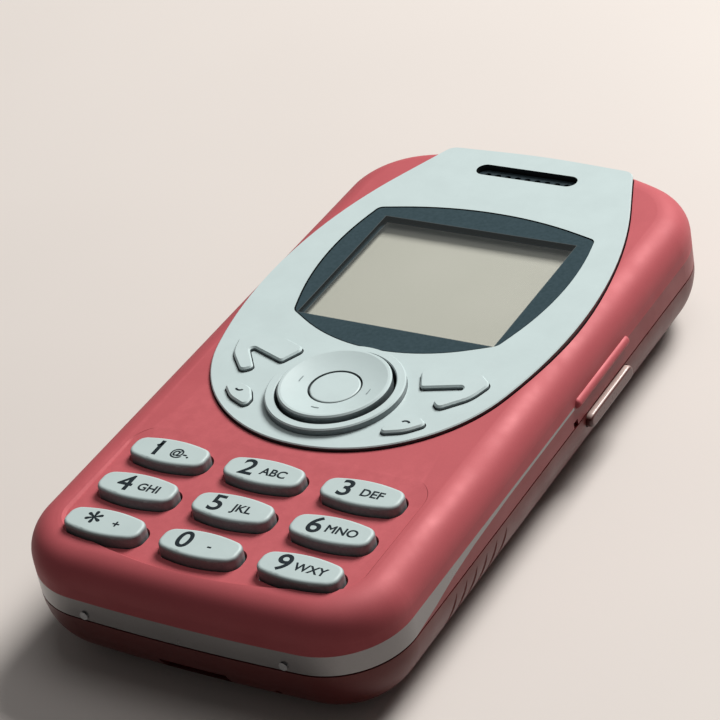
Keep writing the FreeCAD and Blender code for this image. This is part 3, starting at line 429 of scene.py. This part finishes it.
# Small bevels catch the light along the edges of the solids that show, each with its width in mm
EDGE_WIDTHS = {
    "front_shell": 0.07,
    "face_plate": 0.08,
    "nav_ring": 0.06,
    "soft_key_left": 0.06,
    "soft_key_right": 0.06,
    "call_key": 0.06,
    "end_key": 0.06,
    "trim_band": 0.06,
    "mid_frame": 0.06,
    "rear_shell": 0.08,
    "battery_cover": 0.08,
    "base_deck": 0.06,
}
for name, width in EDGE_WIDTHS.items():
    edge = NODES[name].modifiers.new("edge", "BEVEL")
    edge.width = width * MM
    edge.segments = 2
    edge.limit_method = "ANGLE"
    edge.angle_limit = math.radians(35)
    edge.use_clamp_overlap = True
    edge.harden_normals = True


def print_on(name, mesh, ink, body):
    # a thin print as its own piece, which rides on the key or disc under it
    obj = bpy.data.objects.new(name, mesh)
    bpy.context.scene.collection.objects.link(obj)
    mesh.materials.append(MATERIALS[ink])
    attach(obj, body)


def glyph_mesh(words):
    # words in the built-in face, each (text, x, y, height, weight, stretch), laid flat in one mesh
    bm = bmesh.new()
    for text, x, y, height, weight, stretch in words:
        curve = bpy.data.curves.new("glyph", "FONT")
        curve.body = text
        curve.size = height * FONT_SIZE_PER_CAPITAL
        curve.align_x = "CENTER"
        curve.align_y = "CENTER"
        curve.bevel_depth = weight
        curve.bevel_resolution = 0
        curve.extrude = INK_THICK
        holder = bpy.data.objects.new("glyph", curve)
        bpy.context.scene.collection.objects.link(holder)
        flat = bpy.data.meshes.new_from_object(holder.evaluated_get(bpy.context.evaluated_depsgraph_get()))
        thin = INK_THICK / (weight + INK_THICK)
        flat.transform(Matrix.Translation((x, y, 0.0)) @ Matrix.Diagonal((stretch, 1.0, thin, 1.0)))
        bm.from_mesh(flat)
        bpy.data.objects.remove(holder)
        bpy.data.curves.remove(curve)
        bpy.data.meshes.remove(flat)
    mesh = bpy.data.meshes.new("legend")
    bm.to_mesh(mesh)
    bm.free()
    return mesh


def flat_strip(points, width, z, thickness):
    # a thin printed line along points, laid flat at height z
    bm = bmesh.new()
    rows = []
    for i, p in enumerate(points):
        before = Vector(points[max(i - 1, 0)])
        after = Vector(points[min(i + 1, len(points) - 1)])
        along = (after - before).normalized()
        side = Vector((-along.y, along.x)) * (width / 2.0)
        centre = Vector(p)
        rows.append([bm.verts.new((*(centre + side), z)), bm.verts.new((*(centre - side), z))])
    faces = [bm.faces.new((a[0], a[1], b[1], b[0])) for a, b in zip(rows, rows[1:])]
    raised = bmesh.ops.extrude_face_region(bm, geom=faces)
    for v in [g for g in raised["geom"] if isinstance(g, bmesh.types.BMVert)]:
        v.co.z += thickness
    bmesh.ops.recalc_face_normals(bm, faces=bm.faces)
    mesh = bpy.data.meshes.new("strip")
    bm.to_mesh(mesh)
    bm.free()
    return mesh


def arc_points(cx, cy, rx, ry, start, sweep, count):
    # count points along part of an ellipse
    turns = [start + sweep * k / (count - 1.0) for k in range(count)]
    return [(cx + rx * math.cos(a), cy + ry * math.sin(a)) for a in turns]


# Figures and small letters on the twelve number keys
LEGENDS = {
    "key_1": ("1", "@-."), "key_2": ("2", "ABC"), "key_3": ("3", "DEF"),
    "key_4": ("4", "GHI"), "key_5": ("5", "JKL"), "key_6": ("6", "MNO"),
    "key_star": ("*", "+"), "key_0": ("0", "-"), "key_9": ("9", "WXY"),
    "key_7": ("7", "PRS"), "key_8": ("8", "TUV"), "key_hash": ("#", "^"),
}
for node, (digit, letters) in LEGENDS.items():
    cx, cy, top = middle(node)
    star = digit == "*"
    inward = LEFT_COLUMN_INWARD if cx < LEFT_COLUMN_X else 0.0
    digit_y = cy - STAR_DROP if star else cy
    digit_height = DIGIT_HEIGHT * (STAR_GROWTH if star else 1.0)
    letters_x = cx + LETTER_RIGHT + inward / 2.0
    mesh = glyph_mesh([
        (digit, cx - DIGIT_LEFT + inward, digit_y, digit_height, DIGIT_WEIGHT, DIGIT_STRETCH),
        (letters, letters_x, cy - LETTER_DROP, LETTER_HEIGHT, LETTER_WEIGHT, 1.0),
    ])
    mesh.transform(Matrix.Translation((0.0, 0.0, top + INK_LIFT)))
    print_on("legend_" + node, mesh, "ink", node)

# The flag of the figure 1, which the built-in face leaves out
cx, cy, top = middle("key_1")
flag_tip = Vector((cx + FLAG_TIP[0], cy + FLAG_TIP[1]))
mesh = flat_strip([flag_tip + Vector(FLAG_RUN), flag_tip], FLAG_WIDTH, top + INK_LIFT, INK_THICK)
print_on("legend_flag", mesh, "ink", "key_1")

# Three short direction marks on the dished face of the navigation disc
for turn, label in ((0.0, "right"), (math.pi, "left"), (1.5 * math.pi, "down")):
    pts = arc_points(CENTRE_X, NAV_Y, MARK_RADIUS, MARK_RADIUS, turn - MARK_HALF_SPAN,
                     2.0 * MARK_HALF_SPAN, 5)
    mesh = flat_strip(pts, MARK_WIDTH, DISC_TOP - MARK_BELOW_RIM, MARK_THICK)
    print_on("nav_mark_" + label, mesh, "faint_ink", "nav_disc")

# Handset signs: an arc open to the top on the call key, and turned over on the end key
for node, side, start in (("call_key", 1.0, 200.0), ("end_key", -1.0, 20.0)):
    cx, cy, top = middle(node)
    sign_x = cx - side * HANDSET_ASIDE
    sign_y = cy + HANDSET_UP + side * HANDSET_BOW
    pts = arc_points(sign_x, sign_y, HANDSET_HALF_LENGTH, HANDSET_HALF_HEIGHT, math.radians(start),
                     HANDSET_SWEEP, 9)
    print_on("handset_" + node, flat_strip(pts, HANDSET_WIDTH, top + INK_LIFT, INK_THICK), "ink", node)

# Camera, turned by its azimuth and elevation and then rolled about its own view axis
camera = bpy.data.cameras.new("camera")
camera.sensor_width = CAMERA_SENSOR
camera.lens = CAMERA_LENS
camera.clip_start = 0.01
camera.clip_end = 20.0
cam = bpy.data.objects.new("camera", camera)
bpy.context.scene.collection.objects.link(cam)
back = Vector((math.cos(CAMERA_ELEVATION) * math.cos(CAMERA_AZIMUTH),
               math.cos(CAMERA_ELEVATION) * math.sin(CAMERA_AZIMUTH),
               math.sin(CAMERA_ELEVATION)))
right = Vector((-math.sin(CAMERA_AZIMUTH), math.cos(CAMERA_AZIMUTH), 0.0))
level = Matrix((right, back.cross(right), back)).transposed().to_4x4()
level.translation = Vector(CAMERA_PLACE)
cam.matrix_world = level @ Matrix.Rotation(CAMERA_ROLL, 4, "Z")
bpy.context.scene.camera = cam


def floor_material(name):
    # pale where it is seen, and darker in the light that it throws back on the sides
    n = Nodes(name)
    pale = n.mix(n.spread(n.noise(9.0)), FLOOR, FLOOR_LIGHT)
    path = n.add("ShaderNodeLightPath").outputs
    seen = n.math("MAXIMUM", path["Is Camera Ray"], path["Is Glossy Ray"])
    seen = n.math("MAXIMUM", seen, path["Is Transmission Ray"])
    return n.finish(n.principled(n.mix(seen, FLOOR_BOUNCE, pale), 0.55))


bm = bmesh.new()
bmesh.ops.create_grid(bm, x_segments=8, y_segments=8, size=FLOOR_HALF)
floor_mesh = bpy.data.meshes.new("floor")
bm.to_mesh(floor_mesh)
bm.free()
floor = bpy.data.objects.new("floor", floor_mesh)
bpy.context.scene.collection.objects.link(floor)
floor_mesh.materials.append(floor_material("floor"))
floor.location.z = -FLOOR_DROP


def area_light(name, place, size, watts, colour=(1.0, 1.0, 1.0)):
    # a square soft light that looks at the origin
    light = bpy.data.lights.new(name, "AREA")
    light.shape = "SQUARE"
    light.size = size
    light.energy = watts
    light.color = colour
    obj = bpy.data.objects.new(name, light)
    bpy.context.scene.collection.objects.link(obj)
    obj.location = place
    obj.rotation_euler = (-Vector(place)).to_track_quat("-Z", "Y").to_euler()


area_light("key_light", KEY_LIGHT_PLACE, KEY_LIGHT_SIZE, KEY_LIGHT_WATTS, KEY_LIGHT_COLOUR)
area_light("top_light", TOP_LIGHT_PLACE, TOP_LIGHT_SIZE, TOP_LIGHT_WATTS)

world = bpy.data.worlds.new("studio")
world.use_nodes = True
sky = world.node_tree.nodes["Background"]
sky.inputs[0].default_value = WORLD_COLOUR
sky.inputs[1].default_value = WORLD_STRENGTH
bpy.context.scene.world = world
bpy.context.scene.view_settings.view_transform = "Standard"
